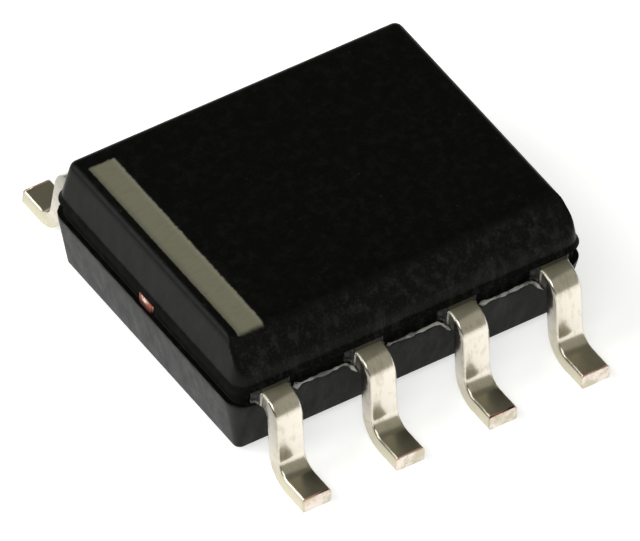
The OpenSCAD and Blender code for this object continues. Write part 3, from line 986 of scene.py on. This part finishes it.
class CHIP_OT_inside(bpy.types.Operator):
    """Finishes the die, its adhesive and the bond wires inside the moulding"""

    bl_idname = "chip.inside"
    bl_label = "Inside"

    def execute(self, context):
        s = context.scene.chip_leads
        silver = metal_finish("silver_epoxy", s.silver, 0.6, depth=3)
        silicon = metal_finish("silicon", s.silicon, 0.2, depth=0.2)
        gold = metal_finish("gold_wire", s.gold, 0.25, depth=0.3)
        parts = {"die_attach": silver, "die": silicon}
        parts.update({f"bond_wire_{n}": gold for n in range(1, LEADS + 1)})
        for name, material in parts.items():
            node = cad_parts[name]
            node.data.materials.clear()
            node.data.materials.append(material)
        return {"FINISHED"}


def aim(thing, location, target, roll=0.0):
    """Puts a lamp or the camera at a place, so that it faces the target."""
    back = (location - target).to_track_quat("Z", "Y").to_matrix().to_4x4()
    thing.matrix_world = Matrix.Translation(location) @ back @ Matrix.Rotation(roll, 4, "Z")


def direction(azimuth, elevation):
    """The way from the chip to a lamp or camera, where azimuth 0 is the side of lead 1 and 90 the lead 4 end."""
    level = math.cos(elevation)
    return Vector((math.sin(azimuth) * level, -math.cos(azimuth) * level, math.sin(elevation)))


def add_lamp(name, azimuth, elevation, width, radiance, tint=(1, 1, 1)):
    """A soft square lamp that faces the chip. Its power follows from the radiance asked for."""
    data = bpy.data.lights.new(name, "AREA")
    data.shape, data.size = "SQUARE", width
    data.energy = radiance * math.pi * width * width
    data.color = tint
    lamp = bpy.data.objects.new(name, data)
    bpy.context.scene.collection.objects.link(lamp)
    way = direction(math.radians(azimuth), math.radians(elevation))
    aim(lamp, way * LAMP_DISTANCE, Vector((0, 0, 0)))
    return lamp


def floor_finish(level):
    """A white floor that keeps its shadows and shows white to the camera and in metal."""
    f = Finish("studio_floor")
    p = f.place()
    seen = f.add("LightPath", output="Is Camera Ray")
    mirrored = f.add("LightPath", output="Is Glossy Ray")
    passed = f.add("LightPath", output="Is Transmission Ray")
    shown = (seen + mirrored + passed).math("MINIMUM", 1.0)
    paper = f.noise(p, 0.2, 3)
    white = f.mix(paper, (0.8, 0.8, 0.8), (0.82, 0.82, 0.82))
    matte = f.add("BsdfPrincipled", inputs={"Base Color": white, "Roughness": 1.0, "Specular IOR Level": 0.0})
    glow = f.add("Emission", inputs={"Color": (1, 1, 1, 1), "Strength": level})
    lit = f.add("AddShader", inputs={0: matte, 1: glow})
    return f.close(f.add("MixShader", inputs={0: shown, 1: matte, 2: lit}))


class CHIP_OT_stage(bpy.types.Operator):
    """Builds the floor, the soft lamps and the camera"""

    bl_idname = "chip.stage"
    bl_label = "Stage"

    def execute(self, context):
        s = context.scene.chip_stage
        scene = context.scene
        self.floor(s)
        world = bpy.data.worlds.new("studio")
        world.use_nodes = True
        background = world.node_tree.nodes["Background"]
        background.inputs["Color"].default_value = (*s.sky_tint, 1)
        background.inputs["Strength"].default_value = s.sky
        scene.world = world
        add_lamp(*LEFT_LAMP, s.key)
        add_lamp(*FRONT_LAMP, s.key * s.front)
        add_lamp(*FILL_LAMP, s.key * s.fill, s.fill_tint)
        self.camera(s, scene)
        scene.view_settings.view_transform = "Standard"
        return {"FINISHED"}

    def floor(self, s):
        bm = bmesh.new()
        middle = 2 * MM
        corners = [(middle, 0), (s.floor_radius, 0), (s.floor_radius, s.backdrop)]
        rings = []
        for radius, level in rounded(corners, [s.cove], 10):
            rings.append([(x, y, level) for x, y in circle(0, 0, radius, 96)])
        skin(bm, rings, (True, False))
        mesh = bpy.data.meshes.new("studio_floor")
        bm.to_mesh(mesh)
        bm.free()
        mesh.shade_smooth()
        mesh.materials.append(floor_finish(s.glow))
        floor = bpy.data.objects.new("studio_floor", mesh)
        bpy.context.scene.collection.objects.link(floor)

    def camera(self, s, scene):
        data = bpy.data.cameras.new("camera")
        data.sensor_width = FILM_WIDTH
        data.lens = data.sensor_width * s.distance / s.across
        data.clip_start, data.clip_end = 0.01, 10
        camera = bpy.data.objects.new("camera", data)
        scene.collection.objects.link(camera)
        back = direction(s.azimuth, s.elevation)
        aim(camera, back, Vector((0, 0, 0)), s.roll)
        turned = camera.matrix_world.to_3x3()
        middle = (CAD_LOW + CAD_HIGH) / 2
        target = middle + turned @ Vector((s.right, -s.below, 0))
        aim(camera, target + back * s.distance, target, s.roll)
        scene.camera = camera


class CHIP_PT_panel(bpy.types.Panel):
    """Lists the pieces of the chip"""

    bl_idname = "CHIP_PT_panel"
    bl_label = "Chip"
    bl_space_type = "VIEW_3D"
    bl_region_type = "UI"
    bl_category = "Chip"

    def draw(self, context):
        for operator in STEPS:
            self.layout.operator(operator.bl_idname)


STEPS = (CHIP_OT_stage, CHIP_OT_moulding, CHIP_OT_flash, CHIP_OT_leads, CHIP_OT_pad, CHIP_OT_inside)
SETTINGS = {"chip_moulding": MouldingSettings, "chip_leads": LeadSettings, "chip_stage": StageSettings}


def register():
    for cls in (*SETTINGS.values(), *STEPS, CHIP_PT_panel):
        bpy.utils.register_class(cls)
    for name, group in SETTINGS.items():
        setattr(bpy.types.Scene, name, PointerProperty(type=group))


def unregister():
    for name in SETTINGS:
        delattr(bpy.types.Scene, name)
    for cls in (CHIP_PT_panel, *STEPS[::-1], *list(SETTINGS.values())[::-1]):
        bpy.utils.unregister_class(cls)


def main():
    register()
    for step in STEPS:
        area, name = step.bl_idname.split(".")
        getattr(getattr(bpy.ops, area), name)()


if __name__ == "__main__":
    main()
